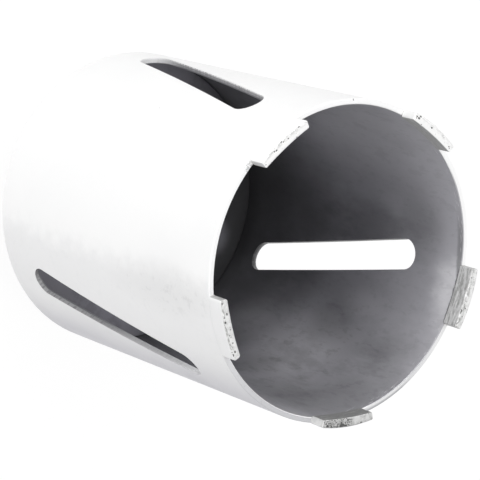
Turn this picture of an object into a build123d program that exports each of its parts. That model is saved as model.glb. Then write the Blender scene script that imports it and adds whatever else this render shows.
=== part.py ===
from build123d import *

import os
from math import cos, degrees, radians, sin

# Diamond core bit for dry drilling: a thin slotted steel barrel with brazed cutting segments.
#
# The bit stands on the end face of its hub. The origin is the centre of that face, +Z runs
# along the axis of rotation to the cutting end, and the first segment is centred on +X.
# All lengths are millimetres and all angles are degrees.

os.makedirs("parts", exist_ok=True)

# ---- Driving dimensions ------------------------------------------------------------------
# Overall size of the bit
cutting_d = 127.0          # circle swept by the segments, 5 in
usable_depth = 150.0       # from the back plate to the tips of the segments

# Barrel
wall = 2.2                 # thickness of the rolled steel wall
side_relief = 0.3          # how far the segments cut outside the barrel
rim_chamfer = 0.3          # both edges of the ground rim
rear_chamfer = 0.6         # outer edge at the back plate's end

# Dust slots in the barrel
slot_width = 12.6
slot_slant = 11.6          # lean from the axis, the same way as a right-hand helix
slot_rim_margin = 28.0     # plain band between the slots and the rim
slot_plate_margin = 12.5   # plain band between the slots and the back plate
slot_angles = (1.0, 121.0, 231.5)

# Cutting segments
segment_angles = (0.0, 72.0, 144.0, 215.5, 288.0)   # set by hand, one of them a little off
segment_length = 24.9      # along the middle of the rim
segment_height = 7.5       # tip above the rim, with the braze
inner_relief_end = 0.8     # how far a segment stands inside the barrel at its two ends
inner_relief_mid = 1.4     # and at its middle, where its inner face is crowned
segment_corner = 0.6       # rounded upright corners
segment_tip_edge = 0.4     # broken edge round the tip
braze_film = 0.25          # silver solder between the rim and a segment
braze_spill = 0.25         # solder squeezed out past each side of the wall

# Back plate
plate_thick = 6.5
plate_chamfer = 0.5
fit_gap = 0.1              # slip fit before welding, on the radius

# Hub with its female pipe thread
hub_d = 34.0
hub_height = 22.0          # from the end face to the back plate
thread_crest_d = 20.955    # outside diameter of the G 1/2 spindle that screws in
thread_gap = 0.0225        # play over the crests, on the radius
thread_countersink = 1.0
spigot_d = 27.0            # the hub's shoulder that centres it in the back plate
spigot_recess = 0.5        # below the plate's inner face
hub_chamfer = 1.0
flats_across = 30.0        # two spanner flats
flats_height = 12.0

# Weld beads
hub_weld_leg = 4.0
plate_weld_reach = 1.6     # each side of the joint
plate_weld_height = 0.9

# ---- Sizes that follow -------------------------------------------------------------------
barrel_r = cutting_d / 2 - side_relief
bore_r = barrel_r - wall
rim_mid_r = barrel_r - wall / 2
barrel_length = usable_depth + plate_thick - segment_height

plate_z = hub_height                    # rear face of the plate and of the barrel
plate_top_z = plate_z + plate_thick
rim_z = plate_z + barrel_length

slot_span = rim_z - slot_rim_margin - plate_top_z - slot_plate_margin
slot_z = plate_top_z + slot_plate_margin + slot_span / 2
slot_length = (slot_span - slot_width) / cos(radians(slot_slant)) + slot_width

segment_half_angle = degrees(segment_length / rim_mid_r) / 2

thread_r = thread_crest_d / 2 + thread_gap


def on_circle(radius: float, angle: float) -> tuple[float, float]:
    """Point on a circle about the axis."""
    return (radius * cos(radians(angle)), radius * sin(radians(angle)))


def facing_out(angle: float, height: float) -> Plane:
    """Plane through the axis that faces outwards, with its X round the barrel and its Y along it."""
    outwards = Vector(*on_circle(1, angle), 0)
    around = Vector(*on_circle(1, angle + 90), 0)
    return Plane(origin=(0, 0, height), x_dir=around, z_dir=outwards)


def ring_strip(height: float, angle: float, outer_r: float, inner_end_r: float, inner_mid_r: float) -> Sketch:
    """Part of a ring, a segment long: round outside, and crowned inside if the last two radii differ."""
    start = angle - segment_half_angle
    end = angle + segment_half_angle
    with BuildSketch(Plane.XY.offset(height)) as strip:
        with BuildLine():
            ThreePointArc(on_circle(outer_r, start), on_circle(outer_r, angle), on_circle(outer_r, end))
            Line(on_circle(outer_r, end), on_circle(inner_end_r, end))
            ThreePointArc(
                on_circle(inner_end_r, end), on_circle(inner_mid_r, angle), on_circle(inner_end_r, start)
            )
            Line(on_circle(inner_end_r, start), on_circle(outer_r, start))
        make_face()
    return strip.sketch


# ---- Barrel ------------------------------------------------------------------------------
# Rolled tube with three slanted slots, which let dust out and the core be levered free
with BuildPart() as barrel:
    with BuildSketch(Plane.XY.offset(plate_z)):
        Circle(barrel_r)
        Circle(bore_r, mode=Mode.SUBTRACT)
    extrude(amount=barrel_length)

    rim_edges = barrel.edges().filter_by(GeomType.CIRCLE).group_by(Axis.Z)[-1]
    chamfer(rim_edges, length=rim_chamfer)
    rear_edge = barrel.edges().filter_by(GeomType.CIRCLE).group_by(Axis.Z)[0].sort_by(SortBy.RADIUS)[-1]
    chamfer(rear_edge, length=rear_chamfer)

    for slot_angle in slot_angles:
        with BuildSketch(facing_out(slot_angle, slot_z)):
            SlotOverall(slot_length, slot_width, rotation=90 - slot_slant)
        extrude(amount=2 * barrel_r, mode=Mode.SUBTRACT)

barrel.part.label = "barrel"
export_step(barrel.part, "parts/barrel.step")

# ---- Back plate --------------------------------------------------------------------------
# Disc let into the rear end of the barrel, flush with it, with a hole for the hub's spigot
with BuildPart() as back_plate:
    with BuildSketch(Plane.XY.offset(plate_z)):
        Circle(bore_r - fit_gap)
        Circle(spigot_d / 2 + fit_gap, mode=Mode.SUBTRACT)
    extrude(amount=plate_thick)

    inner_face_edges = back_plate.edges().filter_by(GeomType.CIRCLE).group_by(Axis.Z)[-1]
    chamfer(inner_face_edges, length=plate_chamfer)

back_plate.part.label = "back_plate"
export_step(back_plate.part, "parts/back_plate.step")

# ---- Hub ---------------------------------------------------------------------------------
# Turned boss with a spigot, two milled spanner flats and the bore of its pipe thread
with BuildPart() as hub:
    with BuildSketch():
        Circle(hub_d / 2)
    extrude(amount=hub_height)
    chamfer(hub.edges().group_by(Axis.Z)[0], length=hub_chamfer)

    with BuildSketch(Plane.XY.offset(plate_z)):
        Circle(spigot_d / 2)
    extrude(amount=plate_thick - spigot_recess)

    with BuildSketch() as flats:
        Circle(hub_d)
        Rectangle(2 * hub_d, flats_across, mode=Mode.SUBTRACT)
    extrude(amount=flats_height, mode=Mode.SUBTRACT)

    with BuildSketch():
        Circle(thread_r)
    extrude(amount=plate_top_z, mode=Mode.SUBTRACT)
    mouth = hub.edges().filter_by(GeomType.CIRCLE).group_by(Axis.Z)[0].sort_by(SortBy.RADIUS)[0]
    chamfer(mouth, length=thread_countersink)

hub.part.label = "hub"
export_step(hub.part, "parts/hub.step")

# ---- Weld beads --------------------------------------------------------------------------
# Fillet weld with equal legs that runs round the hub on the rear face of the plate
with BuildPart() as hub_weld:
    with BuildSketch(Plane.XZ):
        root_r = hub_d / 2 + fit_gap
        with BuildLine():
            Polyline(
                (root_r, plate_z - hub_weld_leg),
                (root_r, plate_z),
                (root_r + hub_weld_leg, plate_z),
                close=True,
            )
        make_face()
    revolve(axis=Axis.Z)

hub_weld.part.label = "hub_weld"
export_step(hub_weld.part, "parts/hub_weld.step")

# Low bead over the joint between the plate and the barrel
with BuildPart() as plate_weld:
    with BuildSketch(Plane.XZ):
        with BuildLine():
            Polyline(
                (bore_r - plate_weld_reach, plate_z),
                (bore_r + plate_weld_reach, plate_z),
                (bore_r, plate_z - plate_weld_height),
                close=True,
            )
        make_face()
    revolve(axis=Axis.Z)

plate_weld.part.label = "plate_weld"
export_step(plate_weld.part, "parts/plate_weld.step")

# ---- Cutting segments and their braze ----------------------------------------------------
film_inner_r = bore_r - braze_spill
for number, segment_angle in enumerate(segment_angles, start=1):
    with BuildPart() as braze:
        film = ring_strip(rim_z, segment_angle, barrel_r, film_inner_r, film_inner_r)
        extrude(film, amount=braze_film)

    braze.part.label = f"braze_{number}"
    export_step(braze.part, f"parts/braze_{number}.step")

    with BuildPart() as segment:
        foot = ring_strip(
            rim_z + braze_film,
            segment_angle,
            cutting_d / 2,
            bore_r - inner_relief_end,
            bore_r - inner_relief_mid,
        )
        extrude(foot, amount=segment_height - braze_film)
        fillet(segment.edges().filter_by(Axis.Z), radius=segment_corner)
        chamfer(segment.edges().group_by(Axis.Z)[-1], length=segment_tip_edge)

    segment.part.label = f"segment_{number}"
    export_step(segment.part, f"parts/segment_{number}.step")
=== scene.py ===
"""Diamond core bit for dry drilling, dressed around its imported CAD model.

Lengths are metres in the part's own frame. The bit stands on its hub's end face at z = 0,
+Z runs along its axis to the cutting end, and the first cutting segment is centred on +X.
"""

import logging
from dataclasses import dataclass, field
from enum import Enum
from math import atan2, cos, hypot, pi, radians, remainder, sin, tau
from typing import Callable, Union

import bpy
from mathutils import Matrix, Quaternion, Vector


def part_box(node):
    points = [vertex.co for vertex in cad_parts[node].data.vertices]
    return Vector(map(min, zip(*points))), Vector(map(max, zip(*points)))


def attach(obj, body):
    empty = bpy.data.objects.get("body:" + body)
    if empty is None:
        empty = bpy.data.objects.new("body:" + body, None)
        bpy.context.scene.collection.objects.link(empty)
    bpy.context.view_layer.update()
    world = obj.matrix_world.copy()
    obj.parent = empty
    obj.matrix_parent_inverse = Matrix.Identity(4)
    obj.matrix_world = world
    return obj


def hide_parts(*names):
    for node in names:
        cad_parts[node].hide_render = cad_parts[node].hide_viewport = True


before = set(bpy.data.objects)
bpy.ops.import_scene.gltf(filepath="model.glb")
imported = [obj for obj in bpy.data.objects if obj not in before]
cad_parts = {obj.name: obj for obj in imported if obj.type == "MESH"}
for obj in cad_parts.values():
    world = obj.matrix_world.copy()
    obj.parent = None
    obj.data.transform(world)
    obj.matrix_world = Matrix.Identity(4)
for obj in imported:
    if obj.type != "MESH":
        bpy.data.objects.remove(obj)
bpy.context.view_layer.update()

log = logging.getLogger("core_bit")

MM = 0.001
BODY = "root"
SEAM_GAP = 0.002 * MM  # points closer than this are joined
DRAWN = 0.45  # marks on the bore are stretched along the axis by the inverse of this

Colour = tuple[float, float, float]
Material = bpy.types.Material
Mesh = bpy.types.Mesh
Node = bpy.types.Node
Piece = bpy.types.Object
Socket = bpy.types.NodeSocket
Tree = bpy.types.NodeTree
Value = Union["Signal", Socket, float]


# ---- Node trees --------------------------------------------------------------------------
def arithmetic(operation: str, backwards: bool = False) -> Callable[..., "Signal"]:
    """A method of Signal that lays one Math node.

    Args:
        operation: what the node does.
        backwards: whether the other value comes first, as where a plain number stands on the left.
    Returns:
        The method. It takes the other value where the operation has one.
    """
    def step(signal: "Signal", *other: Value) -> "Signal":
        """Lay the node."""
        return signal.bench.maths(operation, *((*other, signal) if backwards else (signal, *other)))

    return step


@dataclass(frozen=True)
class Signal:
    """A number that varies over a surface. It takes plain arithmetic, one Math node a step."""

    bench: "Bench"
    socket: Socket

    __add__, __radd__ = arithmetic("ADD"), arithmetic("ADD", backwards=True)
    __sub__, __rsub__ = arithmetic("SUBTRACT"), arithmetic("SUBTRACT", backwards=True)
    __mul__, __rmul__ = arithmetic("MULTIPLY"), arithmetic("MULTIPLY", backwards=True)
    __truediv__ = arithmetic("DIVIDE")
    power = arithmetic("POWER")
    sine = arithmetic("SINE")
    cosine = arithmetic("COSINE")
    size = arithmetic("ABSOLUTE")
    at_least = arithmetic("MAXIMUM")
    at_most = arithmetic("MINIMUM")

    def rise(self, low: Value, high: Value) -> "Signal":
        """Smooth step from 0 at low to 1 at high.

        Args:
            low: the value up to which it is 0.
            high: the value from which it is 1.
        Returns:
            The step.
        """
        given = {"Value": self, "From Min": low, "From Max": high}
        node = self.bench.node("ShaderNodeMapRange", given, interpolation_type="SMOOTHSTEP")
        return self.bench.signal(node.outputs["Result"])

    def fall(self, low: Value, high: Value) -> "Signal":
        """Smooth step from 1 at low to 0 at high."""
        return 1.0 - self.rise(low, high)


class Bench:
    """Lays the nodes of one tree and joins their sockets."""

    def __init__(self, tree: Tree) -> None:
        """Work on this tree."""
        self.tree = tree

    def node(self, kind: str, given: dict[str | int, object] | None = None, **settings: object) -> Node:
        """Add a node.

        Args:
            kind: the node's type.
            given: what goes into its inputs, by their name or number.
            settings: properties to set on it.
        Returns:
            The new node.
        """
        node = self.tree.nodes.new(kind)
        for name, value in settings.items():
            setattr(node, name, value)
        for name, value in (given or {}).items():
            self.feed(node.inputs[name], value)
        return node

    def feed(self, target: Socket, value: object) -> None:
        """Join a signal or a socket to a socket, or set the socket to a plain value.

        Args:
            target: the input to feed.
            value: what goes into it. A colour has three parts.
        """
        if isinstance(value, Signal):
            self.tree.links.new(value.socket, target)
        elif isinstance(value, Socket):
            self.tree.links.new(value, target)
        elif target.type == "RGBA":
            target.default_value = (*value, 1.0)
        else:
            target.default_value = value

    def signal(self, socket: Socket) -> Signal:
        """A socket as a signal that takes arithmetic."""
        return Signal(self, socket)

    def maths(self, operation: str, *values: Value) -> Signal:
        """One Math node, fed with one to three values."""
        node = self.node("ShaderNodeMath", dict(enumerate(values)), operation=operation)
        return self.signal(node.outputs[0])

    def split(self, vector: Socket) -> tuple[Signal, Signal, Signal]:
        """The three parts of a vector."""
        parts = self.node("ShaderNodeSeparateXYZ", {0: vector}).outputs
        return tuple(self.signal(socket) for socket in parts)

    def vector(self, x: Value, y: Value, z: Value) -> Socket:
        """Three parts joined to a vector."""
        return self.node("ShaderNodeCombineXYZ", {0: x, 1: y, 2: z}).outputs[0]

    def reach(self, x: Signal, y: Signal) -> Signal:
        """Distance of a place from the middle."""
        return (x * x + y * y).power(0.5)

    def around(self, x: Signal, y: Signal) -> Signal:
        """Angle of a place about the axis, from minus half a turn to half a turn."""
        return self.maths("ARCTAN2", y, x)

    def turn(self, x: Signal, y: Signal) -> Signal:
        """Angle of a place about the axis, from 0 to a whole turn."""
        return self.maths("WRAP", self.around(x, y), tau, 0.0)

    def beside(self, angle: Signal, middle: Value) -> Signal:
        """How far an angle is from a middle one, the short way round."""
        return self.maths("WRAP", angle - middle, pi, -pi)

    def noise(self, where: Socket, scale: Value, detail: float = 3.0, rough: float = 0.5) -> Signal:
        """Soft noise from 0 to 1.

        Args:
            where: the coordinates that it reads.
            scale: waves in a metre.
            detail: how many finer octaves it has.
            rough: how strong each finer octave is beside the one before.
        Returns:
            The noise.
        """
        given = {"Vector": where, "Scale": scale, "Detail": detail, "Roughness": rough}
        return self.signal(self.node("ShaderNodeTexNoise", given).outputs[0])

    def blend(self, share: Value, first: object, second: object) -> Socket:
        """A colour between two: first where share is 0, and second where it is 1."""
        given = {0: share, 6: first, 7: second}  # the node's colour sockets are 6, 7 and 2
        return self.node("ShaderNodeMix", given, data_type="RGBA", clamp_factor=True).outputs[2]

    def group(self, tree: Tree, **values: Value) -> Signal:
        """What a shader group gives, with its inputs named by keyword, underscores for spaces."""
        given = {name.replace("_", " "): value for name, value in values.items()}
        return self.signal(self.node("ShaderNodeGroup", given, node_tree=tree).outputs[0])


def shader_group(
    name: str, inputs: dict[str, float], gives: str = "Mask", kind: str = "NodeSocketFloat"
) -> tuple[Bench, dict[str, Signal], Socket]:
    """A shader node group with a Vector input, numbers with these defaults and one output.

    Args:
        name: the group's name.
        inputs: the name and default of each number that it takes.
        gives: the name of its output.
        kind: the type of its output.
    Returns:
        The bench of the new tree, its inputs by name and the socket to feed the result to.
    """
    tree = bpy.data.node_groups.new(name, "ShaderNodeTree")
    tree.interface.new_socket("Vector", in_out="INPUT", socket_type="NodeSocketVector")
    for label, default in inputs.items():
        socket = tree.interface.new_socket(label, in_out="INPUT", socket_type="NodeSocketFloat")
        socket.default_value = default
    tree.interface.new_socket(gives, in_out="OUTPUT", socket_type=kind)
    bench = Bench(tree)
    given = bench.node("NodeGroupInput").outputs
    taken = {label: bench.signal(given[label]) for label in ("Vector", *inputs)}
    return bench, taken, bench.node("NodeGroupOutput").inputs[gives]


@dataclass(frozen=True)
class Sector:
    """A stretch of the way round, in degrees: where it opens, is full, begins to fade and ends."""

    opens: float
    full: float
    fades: float
    ends: float

    def over(self, angle: Signal) -> Signal:
        """1 inside the sector, 0 outside it, and soft between."""
        inside = angle.rise(radians(self.opens), radians(self.full))
        return inside * angle.fall(radians(self.fades), radians(self.ends))


@dataclass(frozen=True)
class Silver:
    """Colours of the silver coat, and the two sides on which shade is painted into it."""

    clean: Colour = (0.97, 0.97, 0.97)
    clouded: Colour = (0.92, 0.92, 0.925)
    # painted shade: tone of the lighter band down the side away from the lamps
    wear_and_painted_shade: Colour = (0.87, 0.87, 0.875)
    # painted shade: the deeper tone on the underside
    shaded: Colour = (0.56, 0.552, 0.60)
    dusted: Colour = (0.66, 0.66, 0.66)
    dirty: Colour = (0.52, 0.52, 0.53)
    speck: Colour = (0.42, 0.42, 0.44)
    grain: Colour = (0.46, 0.46, 0.47)
    # where the two bands of painted shade lie, in degrees round
    painted_shade_side: Sector = Sector(196, 208, 300, 340)
    deeper_painted_shade_side: Sector = Sector(226, 257, 285, 330)
    dusty_angle: float = radians(207)
    dusty_height: float = 142 * MM
    dusty_half_angle: float = radians(13)
    dusty_half_height: float = 44 * MM


class Effects:
    """Shader node groups that several finishes share."""

    def __init__(self) -> None:
        """Build every group once."""
        self.clouds = self._clouds()
        self.specks = self._specks()
        self.scuffs = self._scuffs()
        self.soft_patch = self._soft_patch()
        self.residue = self._residue()
        self.coat = self._coat(Silver())

    @staticmethod
    def _clouds() -> Tree:
        """Broad soft patches, as handling and dust leave them.

        Returns:
            The group, which gives a mask.
        """
        bench, taken, result = shader_group("clouds", {"Width": 0.03, "Low": 0.4, "High": 0.7})
        patches = bench.noise(taken["Vector"], bench.maths("DIVIDE", 1.0, taken["Width"]), 4.0)
        bench.feed(result, patches.rise(taken["Low"], taken["High"]))
        return bench.tree

    @staticmethod
    def _specks() -> Tree:
        """Small round marks. Spacing is the grid that they lie in, and only a share of it is filled.

        Returns:
            The group, which gives a mask.
        """
        bench, taken, result = shader_group("specks", {"Spacing": 0.005, "Radius": 0.0004, "Filled": 0.3})
        given = {"Vector": taken["Vector"], "Scale": bench.maths("DIVIDE", 1.0, taken["Spacing"])}
        cells = bench.node("ShaderNodeTexVoronoi", given, feature="F1")
        reach = bench.signal(cells.outputs["Distance"]) * taken["Spacing"]
        chance, size, _ = bench.split(cells.outputs["Color"])
        radius = taken["Radius"] * (0.4 + 0.6 * size)
        spot = reach.fall(radius * 0.6, radius)
        bench.feed(result, spot * chance.fall(taken["Filled"], taken["Filled"] + 0.01))
        return bench.tree

    @staticmethod
    def _scuffs() -> Tree:
        """Short thin rubs that run round the axis, at different slants.

        Returns:
            The group, which gives a mask.
        """
        bench, taken, result = shader_group("scuffs", {"Length": 0.02, "Width": 0.0006, "Low": 0.68})
        x, y, z = bench.split(taken["Vector"])
        angle = bench.around(x, y)
        radius = bench.reach(x, y)
        along = angle * radius / taken["Length"]
        across = (z + angle * radius * 0.12) / taken["Width"]
        streaks = bench.noise(bench.vector(along, across, radius * 300.0), 1.0, 1.0)
        bench.feed(result, streaks.rise(taken["Low"], taken["Low"] + 0.06))
        return bench.tree

    @staticmethod
    def _soft_patch() -> Tree:
        """One soft patch with a ragged edge on a round wall, placed by angle and height.

        Returns:
            The group, which gives a mask.
        """
        given = {"Angle": 0.0, "Height": 0.1, "Half Angle": 0.4, "Half Height": 0.03, "Ragged": 0.9}
        bench, taken, result = shader_group("soft_patch", given)
        x, y, z = bench.split(taken["Vector"])
        side = bench.beside(bench.around(x, y), taken["Angle"]) / taken["Half Angle"]
        above = (z - taken["Height"]) / taken["Half Height"]
        drawn = bench.vector(x, y, z * DRAWN)
        uneven = (bench.noise(drawn, 80.0, 6.0, 0.6) - 0.5) * taken["Ragged"]
        bench.feed(result, (bench.reach(side, above) + uneven).fall(0.15, 1.0))
        return bench.tree

    @staticmethod
    def _residue() -> Tree:
        """Thin wisps with ragged edges, as dried dust leaves them.

        Returns:
            The group, which gives a mask.
        """
        bench, taken, result = shader_group("residue", {"Width": 0.012, "Low": 0.50, "High": 0.60})
        wisps = bench.noise(taken["Vector"], bench.maths("DIVIDE", 1.0, taken["Width"]), 8.0, 0.68)
        bench.feed(result, wisps.rise(taken["Low"], taken["High"]))
        return bench.tree

    def _coat(self, silver: Silver) -> Tree:
        """Silver coat of the outside: nearly white, with painted shade down the side away from the lamps,
        where dirt patches and grains also gather.

        Args:
            silver: the coat's colours and the sides that differ.
        Returns:
            The group, which gives a colour.
        """
        bench, taken, result = shader_group("silver_coat", {}, "Color", "NodeSocketColor")
        where = taken["Vector"]
        x, y, _ = bench.split(where)
        turn = bench.turn(x, y)
        uneven = turn + (bench.noise(where, 150.0, 6.0, 0.62) - 0.5) * radians(16)
        # painted shade down one side; the same mask also places dirt patches and grains
        wear_and_painted_shade = silver.painted_shade_side.over(uneven)
        clouds = bench.group(self.clouds, Vector=where, Width=0.045, Low=0.45, High=0.75)
        specks = bench.group(self.specks, Vector=where, Spacing=0.013, Radius=0.0004, Filled=0.12)
        grains = bench.group(self.specks, Vector=where, Spacing=0.0018, Radius=0.00020, Filled=0.30)
        patches = bench.group(self.residue, Vector=where, Width=0.0036, Low=0.52, High=0.66)
        dusty = bench.group(
            self.soft_patch, Vector=where, Angle=silver.dusty_angle, Height=silver.dusty_height,
            Half_Angle=silver.dusty_half_angle, Half_Height=silver.dusty_half_height,
        )
        colour = bench.blend(clouds * 0.5, silver.clean, silver.clouded)
        # painted shade: the lighter band, then the deeper one on the underside
        colour = bench.blend(wear_and_painted_shade, colour, silver.wear_and_painted_shade)
        colour = bench.blend(silver.deeper_painted_shade_side.over(turn) * 0.9, colour, silver.shaded)
        colour = bench.blend(dusty * 0.30, colour, silver.dusted)
        colour = bench.blend(patches * wear_and_painted_shade * (0.05 + dusty * 0.24), colour, silver.dirty)
        colour = bench.blend(specks * 0.6, colour, silver.speck)
        colour = bench.blend(grains * (wear_and_painted_shade * (0.12 + dusty * 0.9)), colour, silver.grain)
        bench.feed(result, colour)
        return bench.tree


@dataclass(frozen=True)
class Skin:
    """A material under way: its bench, its shader and the coordinates that its pattern reads."""

    material: Material
    bench: Bench
    shader: Node
    where: Socket

    def set(self, **values: object) -> None:
        """Set the shader's sockets, named by keyword, underscores for spaces."""
        for name, value in values.items():
            self.bench.feed(self.shader.inputs[name.replace("_", " ")], value)

    def bump(self, height: Value, depth: float) -> None:
        """Raise the surface by a height from 0 to 1, times a depth in metres."""
        given = {"Strength": 1.0, "Distance": depth, "Height": height}
        self.set(Normal=self.bench.node("ShaderNodeBump", given).outputs[0])


def emptied(owner: Material | bpy.types.World) -> Bench:
    """The bench of a material's or a world's own tree, with nothing on it.

    Args:
        owner: the material or the world.
    Returns:
        A bench for its tree.
    """
    owner.use_nodes = True
    owner.node_tree.nodes.clear()
    return Bench(owner.node_tree)


def new_skin(name: str) -> Skin:
    """A material with a Principled shader and Object coordinates.

    Args:
        name: the material's name.
    Returns:
        The material, ready for its pattern.
    """
    material = bpy.data.materials.new(name)
    bench = emptied(material)
    shader = bench.node("ShaderNodeBsdfPrincipled")
    bench.node("ShaderNodeOutputMaterial", {"Surface": shader.outputs[0]})
    where = bench.node("ShaderNodeTexCoord").outputs["Object"]
    return Skin(material, bench, shader, where)


# ---- Finishes ----------------------------------------------------------------------------
# dark of the wisps and of painted shade, then the colours of painted light on the bore, plain and pale
SOOT_AND_SHADE: Colour = (0.045, 0.045, 0.048)
PAINTED_LIGHT: Colour = (0.72, 0.715, 0.75)
PALE_PAINTED_LIGHT: Colour = (0.95, 0.945, 0.97)


@dataclass(frozen=True)
class SoftPatch:
    """A soft patch on the bore: where its middle is, how far it reaches, and the colour that it lays, mostly
    painted light and shade.
    """

    angle: float
    height: float
    half_angle: float
    half_height: float
    colour: Colour
    strength: float
    ragged: float = 0.9

    def mask(self, skin: Skin, effects: Effects) -> Signal:
        """1 in the middle of the patch, and 0 outside it.

        Args:
            skin: the material that the patch lies on.
            effects: the shader groups that finishes share.
        Returns:
            The mask.
        """
        return skin.bench.group(
            effects.soft_patch, Vector=skin.where, Angle=radians(self.angle), Height=self.height * MM,
            Half_Angle=radians(self.half_angle), Half_Height=self.half_height * MM, Ragged=self.ragged,
        )

    def over(self, skin: Skin, effects: Effects, colour: Socket) -> Socket:
        """Lay the patch over a colour."""
        return skin.bench.blend(self.mask(skin, effects) * self.strength, colour, self.colour)


@dataclass(frozen=True)
class BoreFinish:
    """Inside of the barrel: dark mill scale, painted shade deepening towards the plate, painted light towards
    the mouth, patches of painted light and shade, dark wisps and scuffs.
    """

    effects: Effects
    ground_z: float
    rear_z: float
    # deep end: mill scale, darkened further as painted shade
    scale: Colour = (0.11, 0.11, 0.116)
    dark: Colour = (0.40, 0.397, 0.43)
    # painted light towards the mouth
    lit_near_mouth: Colour = (0.56, 0.555, 0.59)
    lip: Colour = (0.20, 0.20, 0.21)
    scratch: Colour = (0.86, 0.86, 0.87)
    deep_shade_end: float = 98 * MM
    # middle of a band of painted shadow on the bore
    shadow_band_angle: float = radians(10)
    corner_low: float = 29.5 * MM
    corner_high: float = 37.5 * MM
    lip_sector: Sector = Sector(-3, 6, 20, 34)
    wispy: SoftPatch = SoftPatch(-52, 112, 56, 74, SOOT_AND_SHADE, 1.0)
    # patches of painted light where the lamps reach in, and of painted shade where they don't
    light_and_shade_patches: tuple[SoftPatch, ...] = (
        SoftPatch(-44, 106, 30, 34, PAINTED_LIGHT, 0.78, 0.5),
        SoftPatch(-38, 87, 17, 26, PAINTED_LIGHT, 0.36, 0.5),
        SoftPatch(-35, 64, 16, 18, PAINTED_LIGHT, 0.32, 0.5),
        SoftPatch(-62, 129, 11, 14, PAINTED_LIGHT, 0.36, 0.5),
        SoftPatch(-14, 121, 9, 18, PAINTED_LIGHT, 0.28, 0.5),
        SoftPatch(68, 118, 38, 62, PAINTED_LIGHT, 0.66, 0.5),
        SoftPatch(-2, 176, 24, 22, PAINTED_LIGHT, 0.75),
        SoftPatch(0, 172, 20, 20, PALE_PAINTED_LIGHT, 0.80),
        SoftPatch(15, 118, 17, 40, SOOT_AND_SHADE, 0.48),
        SoftPatch(23, 146, 17, 18, SOOT_AND_SHADE, 0.27, 0.5),
        SoftPatch(-28, 132, 14, 20, SOOT_AND_SHADE, 0.14),
        SoftPatch(-29, 150, 17, 18, SOOT_AND_SHADE, 0.32),
        SoftPatch(-31, 160, 12, 16, SOOT_AND_SHADE, 0.18),
        SoftPatch(-24, 110, 16, 19, SOOT_AND_SHADE, 0.28),
        SoftPatch(-58, 98, 13, 19, SOOT_AND_SHADE, 0.28),
        SoftPatch(-70, 130, 20, 34, SOOT_AND_SHADE, 0.28),
        SoftPatch(-10, 100, 15, 60, SOOT_AND_SHADE, 0.08),
        SoftPatch(12, 88, 12, 24, SOOT_AND_SHADE, 0.30),
        SoftPatch(-62, 158, 46, 42, SOOT_AND_SHADE, 0.42),
        SoftPatch(8, 66, 46, 42, SOOT_AND_SHADE, 0.44),
        SoftPatch(-20, 48, 20, 30, SOOT_AND_SHADE, 0.30),
        SoftPatch(30, 142, 20, 30, SOOT_AND_SHADE, 0.12),
    )

    def colour(self, skin: Skin) -> Socket:
        """Mill scale at the deep end darkened further as painted shade, painted light towards the rim, and
        patches of painted light and shade between.

        Args:
            skin: the barrel's material.
        Returns:
            The colour of the bore.
        """
        bench, effects = skin.bench, self.effects
        x, y, z = bench.split(skin.where)
        around = bench.around(x, y)
        blotches = bench.group(effects.clouds, Vector=skin.where, Width=0.05, Low=0.25, High=0.75)
        # painted shadow: a band about one angle, which also lifts the dark deep end higher there
        shadow_and_soot = (around - self.shadow_band_angle).size().fall(radians(12), radians(40))
        uneven = z + (blotches - 0.5) * (24 * MM) - shadow_and_soot * (18 * MM)
        # painted shade darkens the bore towards the plate, and painted light brightens it towards the mouth
        colour = bench.blend(uneven.rise(self.rear_z - 20 * MM, self.deep_shade_end), self.scale, self.dark)
        wear = uneven.rise(self.deep_shade_end - 15 * MM, self.ground_z + 12 * MM)
        colour = bench.blend(wear, colour, self.lit_near_mouth)
        # lay the patches of painted light and shade
        for soft_patch in self.light_and_shade_patches:
            colour = soft_patch.over(skin, effects, colour)
        drawn = bench.vector(x, y, z * DRAWN)
        region = self.wispy.mask(skin, effects)
        wisps = bench.group(effects.residue, Vector=drawn, Low=0.46, High=0.66)
        colour = bench.blend(wisps * (0.06 + region * 0.17), colour, SOOT_AND_SHADE)
        fine = bench.group(effects.residue, Vector=drawn, Width=0.0035, Low=0.52, High=0.62)
        colour = bench.blend(fine * (0.09 + region * 0.10), colour, SOOT_AND_SHADE)
        # painted shade in the corner over the plate, deeper in the band of painted shadow
        corner = (z + (blotches - 0.5) * (5 * MM)).fall(self.corner_low, self.corner_high)
        colour = bench.blend(corner * (0.22 + shadow_and_soot * 0.25), colour, SOOT_AND_SHADE)
        colour = bench.blend(self.dark_foot_line(bench, around, z), colour, SOOT_AND_SHADE)
        colour = bench.blend(self.lip_band(around, z) * 0.6, colour, self.lip)
        scuffs = bench.group(effects.scuffs, Vector=skin.where, Length=0.004, Width=0.0005, Low=0.64)
        near_rim = z.rise(self.ground_z - 5 * MM, self.ground_z - 1 * MM)
        return bench.blend(scuffs * near_rim * 0.75, colour, self.scratch)

    def dark_foot_line(self, bench: Bench, around: Signal, z: Signal) -> Signal:
        """Dark ragged line on the bore, just under the first segment.

        Args:
            bench: the bench of the barrel's material.
            around: the angle about the axis.
            z: the height.
        Returns:
            How strongly the line shows.
        """
        ragged = bench.noise(bench.vector(around * 60.0, z * 500.0, 0.0), 1.0, 4.0, 0.6) - 0.5
        under = around.size().fall(radians(10.0), radians(11.2))
        middle = self.ground_z - 1.15 * MM + around * around * (26 * MM) + ragged * (1.6 * MM)
        near = (z - middle).size().fall(0.20 * MM, 0.70 * MM)
        return under * near * (0.72 + ragged * 1.1)

    def lip_band(self, around: Signal, z: Signal) -> Signal:
        """Dark band under the rim, which narrows towards the first segment."""
        below = self.ground_z - 1.4 * MM - around.rise(radians(1), radians(15)) * (2.4 * MM)
        return z.rise(below, below + 1.6 * MM) * self.lip_sector.over(around)


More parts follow.
